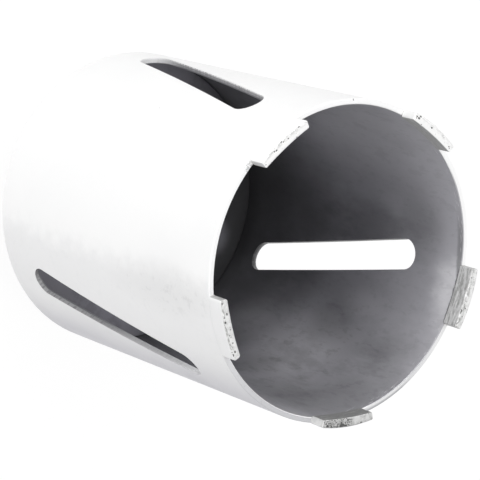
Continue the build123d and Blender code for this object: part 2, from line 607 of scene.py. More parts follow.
@dataclass(frozen=True)
class SawnFinish:
    """Slot walls: grainy grey, with painted shade deep in the slot, lighter at the outer edge with a painted
    highlight on the upper slot, and painted light at two ends.
    """

    outer_r: float
    bore_r: float
    cut: Colour = (0.44, 0.44, 0.45)
    # painted shade at one end of the lower slot
    cut_low: Colour = (0.16, 0.16, 0.17)
    # painted shade deep in the wall
    cut_deep: Colour = (0.09, 0.09, 0.10)
    plain_deep: Colour = (0.02, 0.02, 0.02)
    plain: Colour = (0.12, 0.12, 0.125)
    edge: Colour = (0.30, 0.30, 0.31)
    # painted highlight on the upper slot's outer edge; the lower slot's stays grey
    upper_edge: Colour = (0.97, 0.97, 0.97)
    lower_edge: Colour = (0.44, 0.44, 0.45)
    grain: Colour = (0.13, 0.13, 0.14)
    # painted light at two ends of the walls, greyer on the lower slot
    end_light: Colour = (0.93, 0.93, 0.935)
    lower_end_light: Colour = (0.60, 0.60, 0.61)
    lit_end: Colour = (0.88, 0.88, 0.89)
    upper: Sector = Sector(80, 95, 160, 175)
    lower: Sector = Sector(190, 200, 285, 300)
    upper_end_light: Sector = Sector(95, 100, 150, 155)

    def colour(self, skin: Skin, radius: Signal) -> Socket:
        """Paint shade into the wall by its depth below the outer face, and paint light and shade by which
        slot it belongs to.

        Args:
            skin: the barrel's material.
            radius: the distance from the axis.
        Returns:
            The colour of the slot walls.
        """
        bench = skin.bench
        x, y, z = bench.split(skin.where)
        turn = bench.turn(x, y)
        through = (radius - self.bore_r) / (self.outer_r - self.bore_r)
        grain = bench.noise(bench.vector(turn * 60.0, z * 900.0, radius * 160.0), 1.0, 4.0, 0.6)
        # painted light at two ends of the walls
        lower_end_lit = turn.rise(radians(200), radians(205)) * z.rise(74 * MM, 104 * MM)
        end_light = lower_end_lit.at_least(self.upper_end_light.over(turn) * z.fall(44 * MM, 62 * MM))
        upper, lower = self.upper.over(turn), self.lower.over(turn)
        ragged = through + (grain - 0.5) * 0.5
        edge = ragged.rise(0.62, 0.84)
        # painted shade deep in the wall, darkest where it meets the bore
        deep = ragged.fall(0.12, 0.30)
        plain = bench.blend(ragged.rise(0.28, 0.48), self.plain_deep, self.plain)
        # painted shade at one end of the lower slot
        grey = bench.blend(z.rise(64 * MM, 112 * MM) * lower, self.cut, self.cut_low)
        grey = bench.blend(deep * 0.75, grey, self.cut_deep)
        colour = bench.blend(edge, plain, self.edge)
        # painted highlight on the upper slot's outer edge
        colour = bench.blend(upper, colour, bench.blend(edge, grey, self.upper_edge))
        colour = bench.blend(lower, colour, bench.blend(edge, grey, self.lower_edge))
        colour = bench.blend(grain.rise(0.44, 0.62) * 0.55, colour, self.grain)
        # painted light at the ends, greyer on the lower slot
        light = bench.blend(lower, self.end_light, self.lower_end_light)
        light = bench.blend(z.rise(112 * MM, 142 * MM), light, self.lit_end)
        return bench.blend(end_light * (0.50 + grain * 0.50), colour, light)


@dataclass(frozen=True)
class RimFinish:
    """Ground end of the wall: bright on one side and darker on the other as painted shade, with broken edges,
    the inner one carrying a painted highlight on one side.
    """

    outer_r: float
    bore_r: float
    ground: Colour = (0.98, 0.98, 0.98)
    # painted shade on the side away from the lamps
    dimmer: Colour = (0.60, 0.60, 0.62)
    streak: Colour = (0.42, 0.42, 0.44)
    # a painted highlight line on the face, and a painted shadow line along its outer part
    lit: Colour = (0.90, 0.90, 0.90)
    shadow_line: Colour = (0.36, 0.36, 0.38)
    drop: Colour = (0.36, 0.36, 0.37)
    nick: Colour = (0.12, 0.12, 0.12)
    # inner broken edge: a painted highlight where it faces the fill lamp, grey elsewhere
    broken: Colour = (0.99, 0.99, 0.99)
    broken_dull: Colour = (0.46, 0.46, 0.48)

    def colour(self, skin: Skin, radius: Signal) -> Socket:
        """Paint shade into the ground face by its angle, and colour its two edges by the radius.

        Args:
            skin: the barrel's material.
            radius: the distance from the axis.
        Returns:
            The colour of the ground end.
        """
        bench = skin.bench
        x, y, _ = bench.split(skin.where)
        around = bench.around(x, y)

        def near(middle: float, full: float, gone: float) -> Signal:
            """1 within a reach of an angle and 0 beyond another, all in degrees."""
            return bench.beside(around, radians(middle)).size().fall(radians(full), radians(gone))

        ragged = bench.noise(bench.vector(around * 40.0, radius * 900.0, 0.0), 1.0, 4.0, 0.6) - 0.5
        # painted shade on the side away from the lamps
        dimmer = near(-84, 20, 94)
        colour = bench.blend(dimmer, self.ground, self.dimmer)
        colour = bench.blend(ragged.rise(0.06, 0.20) * (0.10 + dimmer * 0.35), colour, self.streak)
        # painted highlight line, with a painted shadow line along its outer part
        line = near(-49, 6, 17)
        outer = (radius + ragged * (0.5 * MM)).rise(self.bore_r + 0.5 * MM, self.outer_r - 0.4 * MM)
        colour = bench.blend(line * 0.8, colour, self.lit)
        colour = bench.blend(outer * line * 0.9, colour, self.shadow_line)
        drops = bench.noise(skin.where, 1400.0, 2.0).rise(0.46, 0.56)
        colour = bench.blend(drops * near(157.4, 1, 3) * 0.65, colour, self.drop)
        nick = near(107, 0.14, 0.28) * radius.rise(self.outer_r - 0.90 * MM, self.outer_r - 0.65 * MM)
        colour = bench.blend(nick * 0.8, colour, self.nick)
        # painted highlight on the inner broken edge where it faces the fill lamp
        edge = radius.fall(self.bore_r + 0.26 * MM, self.bore_r + 0.34 * MM)
        return bench.blend(edge, colour, bench.blend(near(-5, 46, 60), self.broken, self.broken_dull))


@dataclass(frozen=True)
class BarrelFinish:
    """Satin silver steel: near white outside, charcoal inside, with a ground rim and sawn slots."""

    effects: Effects
    outer_r: float
    bore_r: float
    ground_z: float
    rear_z: float

    def material(self) -> Material:
        """Lay the finish by radius and height: outer face, slot walls, rim and inner face differ.

        Returns:
            The barrel's material.
        """
        skin = new_skin("satin_silver_barrel")
        bench = skin.bench
        x, y, z = bench.split(skin.where)
        radius = bench.reach(x, y)
        rear = z.fall(self.rear_z + 0.05 * MM, self.rear_z + 0.10 * MM)
        outside = radius.rise(self.outer_r - 0.12 * MM, self.outer_r - 0.05 * MM).at_least(rear)
        inside = radius.fall(self.bore_r + 0.03 * MM, self.bore_r + 0.10 * MM) * (1.0 - rear)
        ground = z.rise(self.ground_z - 0.05 * MM, self.ground_z + 0.05 * MM)
        coat = bench.group(self.effects.coat, Vector=skin.where)
        colour = bench.blend(outside, SawnFinish(self.outer_r, self.bore_r).colour(skin, radius), coat)
        bore = BoreFinish(self.effects, self.ground_z, self.rear_z)
        colour = bench.blend(inside, colour, bore.colour(skin))
        colour = bench.blend(ground, colour, RimFinish(self.outer_r, self.bore_r).colour(skin, radius))
        handled = bench.group(self.effects.clouds, Vector=skin.where, Width=0.02, Low=0.35, High=0.75)
        skin.set(Base_Color=colour)
        skin.set(Metallic=outside * 0.08 + ground * 0.30 + inside * 0.18)
        skin.set(Roughness=0.34 + inside * 0.12 + handled * 0.10)
        fine = bench.noise(skin.where, 2600.0, 2.0)
        skin.bump(fine + bench.noise(skin.where, 320.0, 2.0) * 2.0, 0.010 * MM)
        return skin.material


@dataclass(frozen=True)
class Patch:
    """A round patch on the plate, in millimetres: its middle, where it fades, and its edge's unevenness."""

    x: float
    y: float
    near: float
    far: float
    uneven: float

    def beyond(self, bench: Bench, x: Signal, y: Signal, clouds: Signal) -> Signal:
        """0 within the patch, and 1 outside it."""
        away = bench.reach(x - self.x * MM, y - self.y * MM) + (clouds - 0.5) * (self.uneven * MM)
        return away.rise(self.near * MM, self.far * MM)


@dataclass(frozen=True)
class PlateFinish:
    """The back plate: grey on the inner face, with a painted shadow over one side and painted shade in its
    corner, and satin silver behind.
    """

    effects: Effects
    rear_z: float
    edge_r: float
    bright: Colour = (0.86, 0.86, 0.87)
    clouded: Colour = (0.70, 0.70, 0.71)
    grey: Colour = (0.38, 0.372, 0.42)
    dimmer: Colour = (0.28, 0.275, 0.305)
    # dark of the painted shadow, also used for dark wisps
    shadow_and_soot: Colour = (0.055, 0.055, 0.058)
    # where the painted shadow lies, and a lighter spot inside it
    shadow_patch: Patch = Patch(56, 12, 30, 84, 8)
    wear_and_painted_shade: Patch = Patch(45, -6, 3, 10, 3)
    dull: Patch = Patch(-31, -44, 8, 30, 4)

    def material(self) -> Material:
        """Lay the finish by height, and the painted shade by its distance from one side and from the corner.

        Returns:
            The plate's material.
        """
        skin = new_skin("satin_silver_plate")
        bench = skin.bench
        x, y, z = bench.split(skin.where)
        inner = z.rise(self.rear_z + 0.10 * MM, self.rear_z + 0.20 * MM)
        clouds = bench.group(self.effects.clouds, Vector=skin.where, Width=0.022, Low=0.38, High=0.72)
        wisps = bench.group(self.effects.residue, Vector=skin.where, Width=0.008)
        clear, beyond_lighter_spot, lively = (
            patch.beyond(bench, x, y, clouds) for patch in (self.shadow_patch, self.wear_and_painted_shade, self.dull)
        )
        # painted shadow over one side, with a lighter spot inside it
        face = bench.blend(clear, self.shadow_and_soot, self.grey)
        face = bench.blend((1.0 - beyond_lighter_spot) * 0.40, face, self.grey)
        face = bench.blend((1.0 - lively) * 0.7, face, self.dimmer)
        face = bench.blend(wisps * 0.20, face, self.shadow_and_soot)
        # painted shade in the corner, deeper inside the painted shadow
        uneven = bench.reach(x, y) + (clouds - 0.5) * (3 * MM)
        corner = uneven.rise(self.edge_r - 8 * MM, self.edge_r - 1 * MM)
        face = bench.blend(corner * (0.78 - clear * 0.68), face, SOOT_AND_SHADE)
        behind = bench.blend(clouds * 0.3, self.bright, self.clouded)
        skin.set(Base_Color=bench.blend(inner, behind, face))
        skin.set(Metallic=0.60 - inner * 0.45)
        skin.set(Roughness=0.36 + inner * 0.14 + clouds * 0.08)
        skin.bump(bench.noise(skin.where, 2600.0, 2.0), 0.012 * MM)
        return skin.material


@dataclass(frozen=True)
class TurnedFinish:
    """Bright steel with the fine rings of a lathe tool."""

    effects: Effects
    steel: Colour = (0.66, 0.66, 0.67)
    oiled: Colour = (0.54, 0.535, 0.53)
    feed: float = 0.18 * MM

    def material(self) -> Material:
        """Rings follow the radius on flat faces and the height on round ones.

        Returns:
            The hub's material.
        """
        skin = new_skin("turned_steel")
        bench = skin.bench
        x, y, z = bench.split(skin.where)
        run = bench.reach(x, y) + z
        rings = (run * (tau / self.feed)).sine() * 0.5 + 0.5
        bands = bench.noise(bench.vector(run * 700.0, 0.0, 0.0), 1.0, 2.0)
        clouds = bench.group(self.effects.clouds, Vector=skin.where, Width=0.018, Low=0.40, High=0.80)
        colour = bench.blend(clouds, self.steel, self.oiled)
        skin.set(Base_Color=bench.blend(bands.rise(0.40, 0.70) * 0.35, colour, self.oiled))
        skin.set(Metallic=1.0)
        skin.set(Roughness=0.26 + rings * 0.12 + bands * 0.06)
        skin.bump(rings, 0.010 * MM)
        return skin.material


@dataclass(frozen=True)
class WeldFinish:
    """Weld metal under a thin coat of silver, with burnt patches between the ripples."""

    effects: Effects
    metal: Colour = (0.70, 0.70, 0.71)
    burnt: Colour = (0.40, 0.37, 0.36)

    def material(self) -> Material:
        """Cloud the bead with burnt patches.

        Returns:
            The material of both welds.
        """
        skin = new_skin("weld_metal")
        bench = skin.bench
        clouds = bench.group(self.effects.clouds, Vector=skin.where, Width=0.006, Low=0.48, High=0.80)
        skin.set(Base_Color=bench.blend(clouds, self.metal, self.burnt))
        skin.set(Metallic=0.85)
        skin.set(Roughness=0.30 + clouds * 0.2)
        skin.bump(bench.noise(skin.where, 4000.0, 3.0), 0.03 * MM)
        return skin.material


@dataclass(frozen=True)
class SolderFinish:
    """Silver solder that has drawn a dark flux line inside, and is ground bright outside."""

    effects: Effects
    outer_r: float
    solder: Colour = (0.78, 0.775, 0.76)
    flux: Colour = (0.10, 0.095, 0.10)

    def material(self) -> Material:
        """Patch the solder with flux, and let the silver coat run over its outer edge.

        Returns:
            The material of the solder.
        """
        skin = new_skin("silver_solder")
        bench = skin.bench
        x, y, _ = bench.split(skin.where)
        radius = bench.reach(x, y)
        outside = radius.rise(self.outer_r - 0.7 * MM, self.outer_r - 0.2 * MM)
        inside = radius.fall(self.outer_r - 2.4 * MM, self.outer_r - 1.8 * MM)
        clouds = bench.group(self.effects.clouds, Vector=skin.where, Width=0.003, Low=0.30, High=0.58)
        coat = bench.group(self.effects.coat, Vector=skin.where)
        colour = bench.blend(clouds * (0.25 + inside * 0.75), self.solder, self.flux)
        skin.set(Base_Color=bench.blend(outside, colour, coat))
        skin.set(Metallic=0.6 - outside * 0.5)
        skin.set(Roughness=0.45 + clouds * 0.3)
        skin.bump(bench.noise(skin.where, 3000.0, 2.0), 0.03 * MM)
        return skin.material


@dataclass(frozen=True)
class GritFinish:
    """Sintered metal powder with dark pores. Attributes of the block say how each face looks."""

    effects: Effects
    black: Colour = (0.0, 0.0, 0.0)
    white: Colour = (1.0, 1.0, 0.995)
    pore: Colour = (0.045, 0.045, 0.045)
    stain: Colour = (0.34, 0.342, 0.335)
    band_dark: Colour = (0.34, 0.34, 0.335)
    band_light: Colour = (0.99, 0.99, 0.99)
    line_light: Colour = (0.93, 0.93, 0.93)
    foot: Colour = (0.88, 0.88, 0.89)

    def material(self) -> Material:
        """Shade the metal by its tone, mottle it, run the coat over its outer face, blacken its pores.

        Returns:
            The material of the segments.
        """
        skin = new_skin("sintered_grit")
        bench = skin.bench

        def held(name: str) -> Signal:
            """A number that the block carries."""
            return bench.signal(bench.node("ShaderNodeAttribute", attribute_name=name).outputs["Fac"])

        x, y, z = bench.split(skin.where)
        mottled, outer, band = held("mottled"), held("outer"), held("band")
        blotch = bench.group(self.effects.clouds, Vector=skin.where, Width=0.0020, Low=0.40, High=0.70)
        grains = bench.group(
            self.effects.specks, Vector=skin.where, Spacing=0.0009, Radius=0.00026, Filled=0.40
        )
        turn = bench.around(x, y)
        drawn = bench.noise(bench.vector(turn * 11.0, z * 1150.0, (x + y) * 40.0), 1.0, 5.0, 0.66)
        wear_and_painted_shade = bench.noise(bench.vector(turn * 44.0, bench.reach(x, y) * 1900.0, z * 300.0), 1.0, 4.0, 0.6)
        colour = bench.blend(held("tone"), self.black, self.white)
        colour = bench.blend(wear_and_painted_shade.rise(0.46, 0.56) * band, colour, self.band_dark)
        colour = bench.blend(wear_and_painted_shade.rise(0.44, 0.30) * band * 0.5, colour, self.band_light)
        colour = bench.blend(blotch * mottled * 0.60, colour, self.stain)
        colour = bench.blend(grains * mottled * 0.65, colour, self.stain)
        lines = held("inner") * (0.20 + mottled * 0.9)
        colour = bench.blend(drawn.rise(0.50, 0.60) * lines * 0.8, colour, self.stain)
        colour = bench.blend(drawn.fall(0.38, 0.47) * lines * 0.8, colour, self.line_light)
        ragged = held("foot") + (drawn - 0.5) * 0.9
        colour = bench.blend(ragged.rise(0.45, 0.85) * 0.6, colour, self.foot)
        colour = bench.blend(outer, colour, bench.group(self.effects.coat, Vector=skin.where))
        colour = bench.blend(held("pit").rise(0.20, 0.65) * held("depth"), colour, self.pore)
        skin.set(Base_Color=colour)
        skin.set(Metallic=0.22 - outer * 0.14)
        skin.set(Roughness=0.50 + blotch * 0.15 - outer * 0.14)
        skin.bump(bench.noise(skin.where, 4200.0, 3.0) * (1.0 - outer * 0.85), 0.05 * MM)
        return skin.material


@dataclass(frozen=True)
class CrystalFinish:
    """Synthetic diamond: small pale yellow-green crystals."""

    crystal: Colour = (0.62, 0.64, 0.50)
    shaded: Colour = (0.34, 0.35, 0.28)

    def material(self) -> Material:
        """A glossy grain whose shade drifts from one crystal to the next.

        Returns:
            The material of the crystals.
        """
        skin = new_skin("diamond_grain")
        shade = skin.bench.noise(skin.where, 900.0, 0.0)
        skin.set(Base_Color=skin.bench.blend(shade.rise(0.3, 0.7), self.crystal, self.shaded))
        skin.set(Roughness=0.16, IOR=2.0)
        return skin.material


# ---- Geometry trees ----------------------------------------------------------------------
class Fitting:
    """A geometry node tree with named inputs, used once on a carrier mesh and then made plain."""

    def __init__(self, name: str, takes_mesh: bool) -> None:
        """Start a tree.

        Args:
            name: the tree's name.
            takes_mesh: whether it works on its carrier's own mesh.
        """
        self.tree = bpy.data.node_groups.new(name, "GeometryNodeTree")
        self.bench = Bench(self.tree)
        self.identifiers: dict[str, str] = {}
        for way in ("INPUT", "OUTPUT") if takes_mesh else ("OUTPUT",):
            self.tree.interface.new_socket("Geometry", in_out=way, socket_type="NodeSocketGeometry")
        self.given = self.bench.node("NodeGroupInput")

    def number(self, label: str, default: float, kind: str = "NodeSocketFloat") -> Signal:
        """Add a length or a ratio to the tree's inputs.

        Args:
            label: the input's name.
            default: what it is where no value is given.
            kind: the type of its socket.
        Returns:
            The input.
        """
        socket = self.tree.interface.new_socket(label, in_out="INPUT", socket_type=kind)
        socket.default_value = default
        self.identifiers[label] = socket.identifier
        return self.bench.signal(self.given.outputs[label])

    def count(self, label: str, default: int) -> Signal:
        """Add a whole number to the tree's inputs."""
        return self.number(label, default, "NodeSocketInt")

    def held(self, name: str) -> Signal:
        """A number that the mesh carries."""
        node = self.bench.node("GeometryNodeInputNamedAttribute", {"Name": name}, data_type="FLOAT")
        return self.bench.signal(node.outputs["Attribute"])

    def chance(self, seed: Value, low: float = 0.0, high: float = 1.0, number: Value | None = None) -> Signal:
        """A random number for each point.

        Args:
            seed: what sets the draw.
            low: the least that it can be.
            high: the most that it can be.
            number: the point's number, where it isn't its own.
        Returns:
            The number.
        """
        given = {2: low, 3: high, "Seed": seed}  # the node's float sockets are 2, 3 and 1
        if number is not None:
            given["ID"] = number
        node = self.bench.node("FunctionNodeRandomValue", given, data_type="FLOAT")
        return self.bench.signal(node.outputs[1])

    def strewn(self, mesh: Socket, density: Signal, seed: Signal) -> Node:
        """Points spread over the faces of a mesh."""
        given = {"Mesh": mesh, "Density": density, "Seed": seed}
        return self.bench.node("GeometryNodeDistributePointsOnFaces", given)

    def marked(self, mesh: Socket, name: str, value: Value) -> Socket:
        """The mesh with a named number on its points.

        Args:
            mesh: the mesh to mark.
            name: the number's name.
            value: the number.
        Returns:
            The marked mesh.
        """
        given = {"Geometry": mesh, "Name": name, "Value": value}
        kept = self.bench.node("GeometryNodeStoreNamedAttribute", given, data_type="FLOAT", domain="POINT")
        return kept.outputs["Geometry"]

    def moved(self, geometry: Socket, **way: Socket) -> Socket:
        """Geometry put at a Position, or pushed by an Offset."""
        return self.bench.node("GeometryNodeSetPosition", {"Geometry": geometry, **way}).outputs["Geometry"]

    def scaled(self, direction: Socket, length: Value) -> Socket:
        """A direction times a length."""
        given = {0: direction, "Scale": length}
        return self.bench.node("ShaderNodeVectorMath", given, operation="SCALE").outputs[0]

    def smoothed(self, geometry: Socket) -> Socket:
        """Geometry that is shaded smooth."""
        return self.bench.node("GeometryNodeSetShadeSmooth", {"Geometry": geometry}).outputs["Geometry"]

    def finish(self, geometry: Socket, material: Material, marked: dict[str, Material] | None = None) -> None:
        """End the tree in Realize Instances and Set Material.

        Args:
            geometry: what the tree has made.
            material: what it is dressed in.
            marked: the material of each part that carries an attribute by this name.
        """
        realize = self.bench.node("GeometryNodeRealizeInstances", {"Geometry": geometry})
        last = self.dressed(realize.outputs["Geometry"], material)
        for mark, other in (marked or {}).items():
            last = self.dressed(last, other, mark)
        self.bench.node("NodeGroupOutput", {"Geometry": last})

    def dressed(self, geometry: Socket, material: Material, mark: str = "") -> Socket:
        """Set a material on everything, or on what carries a mark.

        Args:
            geometry: what to dress.
            material: what to dress it in.
            mark: the mark's name, or nothing where everything is dressed.
        Returns:
            The dressed geometry.
        """
        given = {"Geometry": geometry, "Material": material}
        if mark:
            given["Selection"] = self.bench.maths("GREATER_THAN", self.held(mark), 0.5)
        return self.bench.node("GeometryNodeSetMaterial", given).outputs["Geometry"]

    def make(self, name: str, carrier: Mesh | None = None, **values: float) -> Piece:
        """Run the tree on a carrier mesh.

        Args:
            name: the name of the finished piece.
            carrier: the mesh that it starts from, or none for a tree that makes its own.
            values: inputs of the tree, underscores for spaces.
        Returns:
            A plain mesh object at the origin, with no modifier.
        """
        piece = bpy.data.objects.new(name, carrier or bpy.data.meshes.new(name))
        bpy.context.scene.collection.objects.link(piece)
        modifier = piece.modifiers.new("fitting", "NODES")
        modifier.node_group = self.tree
        for label, value in values.items():
            modifier[self.identifiers[label.replace("_", " ")]] = value
        bpy.context.view_layer.update()
        evaluated = piece.evaluated_get(bpy.context.evaluated_depsgraph_get())
        plain = bpy.data.meshes.new_from_object(evaluated)
        piece.modifiers.remove(modifier)
        piece.data = plain
        plain.name = name
        return piece


Section = Callable[["RoundTree", Signal, Signal], tuple[Signal, Signal]]


class RoundTree(Fitting):
    """A closed section carried round the axis, over one turn or many."""

    def __init__(self, name: str, material: Material, section: Section) -> None:
        """Build the tree.

        Args:
            name: the tree's name.
            material: what it dresses the result in.
            section: gives the radius and the height for a share of the way round and a share
                of the way about the section.
        """
        super().__init__(name, takes_mesh=False)
        bench = self.bench
        rows = self.count("Rows", 100)
        columns = self.count("Columns", 10)
        turns = self.number("Turns", 1.0)
        grid = bench.node(
            "GeometryNodeMeshGrid", {"Size X": 1.0, "Size Y": 1.0, "Vertices X": rows, "Vertices Y": columns}
        )
        across, about, _ = bench.split(bench.node("GeometryNodeInputPosition").outputs[0])
        way = across + 0.5
        radius, height = section(self, way, about + 0.5)
        angle = way * turns * tau
        place = bench.vector(radius * angle.cosine(), radius * angle.sine(), height)
        wound = self.moved(grid.outputs["Mesh"], Position=place)
        weld = bench.node("GeometryNodeMergeByDistance", {"Geometry": wound, "Distance": SEAM_GAP})
        self.finish(self.smoothed(weld.outputs["Geometry"]), material)

    def ripple(self, way: Signal, ripples: Signal, lag: Signal) -> Signal:
        """Weld ripples from 0 to 1 on the way round, held back by a lag."""
        return (way * ripples * tau + lag).sine() * 0.5 + 0.5

    def drift(self, way: Signal, waves: float, up: Value = 0.0) -> Signal:
        """Slow unevenness on the way round."""
        place = self.bench.vector((way * tau).cosine() * waves, (way * tau).sine() * waves, up)
        return self.bench.noise(place, 1.0, 2.0)


# ---- Sub-assemblies ----------------------------------------------------------------------
@dataclass
class Barrel:
    """The rolled barrel and the plate let into its rear end."""

    wall: float = 2.2 * MM
    rim_chamfer: float = 0.3 * MM
    outer_r: float = field(init=False)
    bore_r: float = field(init=False)
    rear_z: float = field(init=False)
    rim_z: float = field(init=False)

    def __post_init__(self) -> None:
        """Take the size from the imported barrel."""
        low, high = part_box("barrel")
        self.outer_r = high.y
        self.bore_r = high.y - self.wall
        self.rear_z = low.z
        self.rim_z = high.z

    def dress(self, effects: Effects) -> None:
        """Give the barrel and its plate their finish.

        Args:
            effects: the shader groups that finishes share.
        """
        barrel = BarrelFinish(effects, self.outer_r, self.bore_r, self.rim_z - self.rim_chamfer, self.rear_z)
        plate = PlateFinish(effects, self.rear_z, self.bore_r)
        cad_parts["barrel"].material_slots[0].material = barrel.material()
        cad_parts["back_plate"].material_slots[0].material = plate.material()
        log.info("barrel and back plate dressed")


@dataclass
class Hub:
    """The turned hub, the ridges of its pipe thread and the weld that holds it."""

    pitch: float = 1.814 * MM
    major_r: float = 10.4775 * MM
    minor_r: float = 9.3155 * MM
    wall_bite: float = 0.06 * MM
    flank_slope: float = 1.25
    crest_cut: float = 0.86
    lead_in: float = 1.2 * MM
    thread_end: float = 26.5 * MM
    thread_rows: int = 72
    run_in: float = 0.6
    run_out: float = 0.8
    weld_leg: float = 4.0 * MM
    weld_face: float = 0.84
    weld_hollow: float = 1.45
    weld_ripples: int = 92
    steel: Material = field(init=False)

    def dress(self, effects: Effects) -> None:
        """Give the hub its finish."""
        self.steel = TurnedFinish(effects).material()
        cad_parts["hub"].material_slots[0].material = self.steel

    def thread(self) -> Piece:
        """Ridges of the parallel pipe thread, which fade out at both ends.

        Returns:
            The ridges, as a piece of their own.
        """
        turns = (self.thread_end - self.lead_in) / self.pitch - 1.0

        def section(tree: RoundTree, way: Signal, about: Signal) -> tuple[Signal, Signal]:
            """A rounded vee that stands out of the bore's wall.

            Args:
                tree: the tree under way.
                way: share of the way round, from 0 to 1.
                about: share of the way about the section, from 0 to 1.
            Returns:
                The radius and the height.
            """
            pitch = tree.number("Pitch", self.pitch)
            depth = tree.number("Depth", self.major_r - self.minor_r)
            root = tree.number("Wall Radius", self.major_r + self.wall_bite)
            start = tree.number("Start", self.lead_in)
            flank = 1.0 - (about * 2.0 - 1.0).size() * self.flank_slope
            crest = flank.at_least(0.0).at_most(self.crest_cut)
            back = about.rise(0.985, 1.0)
            fade = way.rise(0.0, self.run_in / turns) * way.fall(1.0 - self.run_out / turns, 1.0)
            radius = root - (depth + self.wall_bite) * crest * fade / self.crest_cut
            height = start + way * pitch * turns + (about * (1.0 - back)) * pitch * 0.96
            return radius, height

        tree = RoundTree("pipe_thread", self.steel, section)
        piece = tree.make("hub_thread", Rows=int(turns * self.thread_rows), Columns=18, Turns=turns)
        return piece

    def weld(self, material: Material) -> Piece:
        """Rippled fillet weld round the hub.

        Args:
            material: the weld metal.
        Returns:
            The bead, in place of the CAD weld.
        """
        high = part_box("hub_weld")[1]

        def section(tree: RoundTree, way: Signal, about: Signal) -> tuple[Signal, Signal]:
            """A fillet whose face swells and sinks with each ripple.

            Args:
                tree: the tree under way.
                way: share of the way round, from 0 to 1.
                about: share of the way about the section, from 0 to 1.
            Returns:
                The radius and the height.
            """
            leg = tree.number("Leg", self.weld_leg)
            inner = tree.number("Inner Radius", high.x - self.weld_leg)
            top = tree.number("Plate Height", high.z)
            ripples = tree.number("Ripples", self.weld_ripples)
            share = (about / self.weld_face).at_most(1.0)
            turn = share * (pi / 2)
            lag = share * 2.0 - 1.0
            wave = tree.ripple(way, ripples, lag * lag * 2.2)
            swell = 0.84 + wave.power(0.6) * 0.075 + tree.drift(way, 6.0, about * 0.6) * 0.10
            open_face = about.fall(self.weld_face, self.weld_face + 0.06)
            out = turn.sine().at_least(0.0).power(self.weld_hollow) * leg * swell
            down = turn.cosine().at_least(0.0).power(self.weld_hollow) * leg * swell
            return inner + out * open_face, top - down * open_face.at_most(1.0)

        tree = RoundTree("fillet_weld", material, section)
        piece = tree.make("hub_bead", Rows=self.weld_ripples * 10, Columns=20)
        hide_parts("hub_weld")
        return piece


@dataclass
class RearSeam:
    """The low weld that closes the joint between the plate and the barrel."""

    ripples: int = 260
    inner_half: float = 1.6 * MM
    face: float = 0.9

    def build(self, material: Material) -> Piece:
        """Rippled low bead.

        Args:
            material: the weld metal.
        Returns:
            The bead, in place of the CAD weld.
        """
        low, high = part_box("plate_weld")

        def section(tree: RoundTree, way: Signal, about: Signal) -> tuple[Signal, Signal]:
            """A shallow arch over the joint, closed along the plate's face.

            Args:
                tree: the tree under way.
                way: share of the way round, from 0 to 1.
                about: share of the way about the section, from 0 to 1.
            Returns:
                The radius and the height.
            """
            middle = tree.number("Joint Radius", high.x - self.inner_half)
            reach = tree.number("Reach", self.inner_half)
            rise = tree.number("Rise", high.z - low.z)
            top = tree.number("Plate Height", high.z)
            ripples = tree.number("Ripples", self.ripples)
            side = (about / self.face).at_most(1.0) * 2.0 - 1.0
            wave = tree.ripple(way, ripples, side * side * 2.0)
            drift = tree.drift(way, 18.0)
            swell = 0.70 + wave.power(0.6) * 0.18 + drift * 0.12
            back = about.rise(self.face, 1.0)
            arch = (1.0 - side * side) * swell * rise
            out = middle + side * reach * (0.90 + drift * 0.1) * (1.0 - back * 2.0)
            return out, top - arch

        tree = RoundTree("seam_weld", material, section)
        piece = tree.make("rear_seam", Rows=self.ripples * 8, Columns=12)
        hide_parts("plate_weld")
        return piece


@dataclass(frozen=True)
class Chip:
    """A pit at a given place: shares along and across the tip face, and its reach."""

    along: float
    across: float
    reach: float


@dataclass(frozen=True)
class Surface:
    """How the faces of one cutting segment look.

    Tones run from 0, black, to 1, white. Pits are counted to the square metre, and the corner is
    the radius of the upright edges in millimetres.
    """

    tip: float
    inner: float
    # tone of the inner face: painted shade, matched to the bore beside it
    end: float
    mottled: float
    pits: float = 0.0
    pit_depth: float = 0.6
    pitted_end: float = 1.0
    pitted_tone: float = 0.5
    band: float = 0.0
    band_across: float = 0.75
    foot: float = 0.0
    lines: float = 0.10
    corner: float = 0.6
    chips: tuple[Chip, ...] = ()


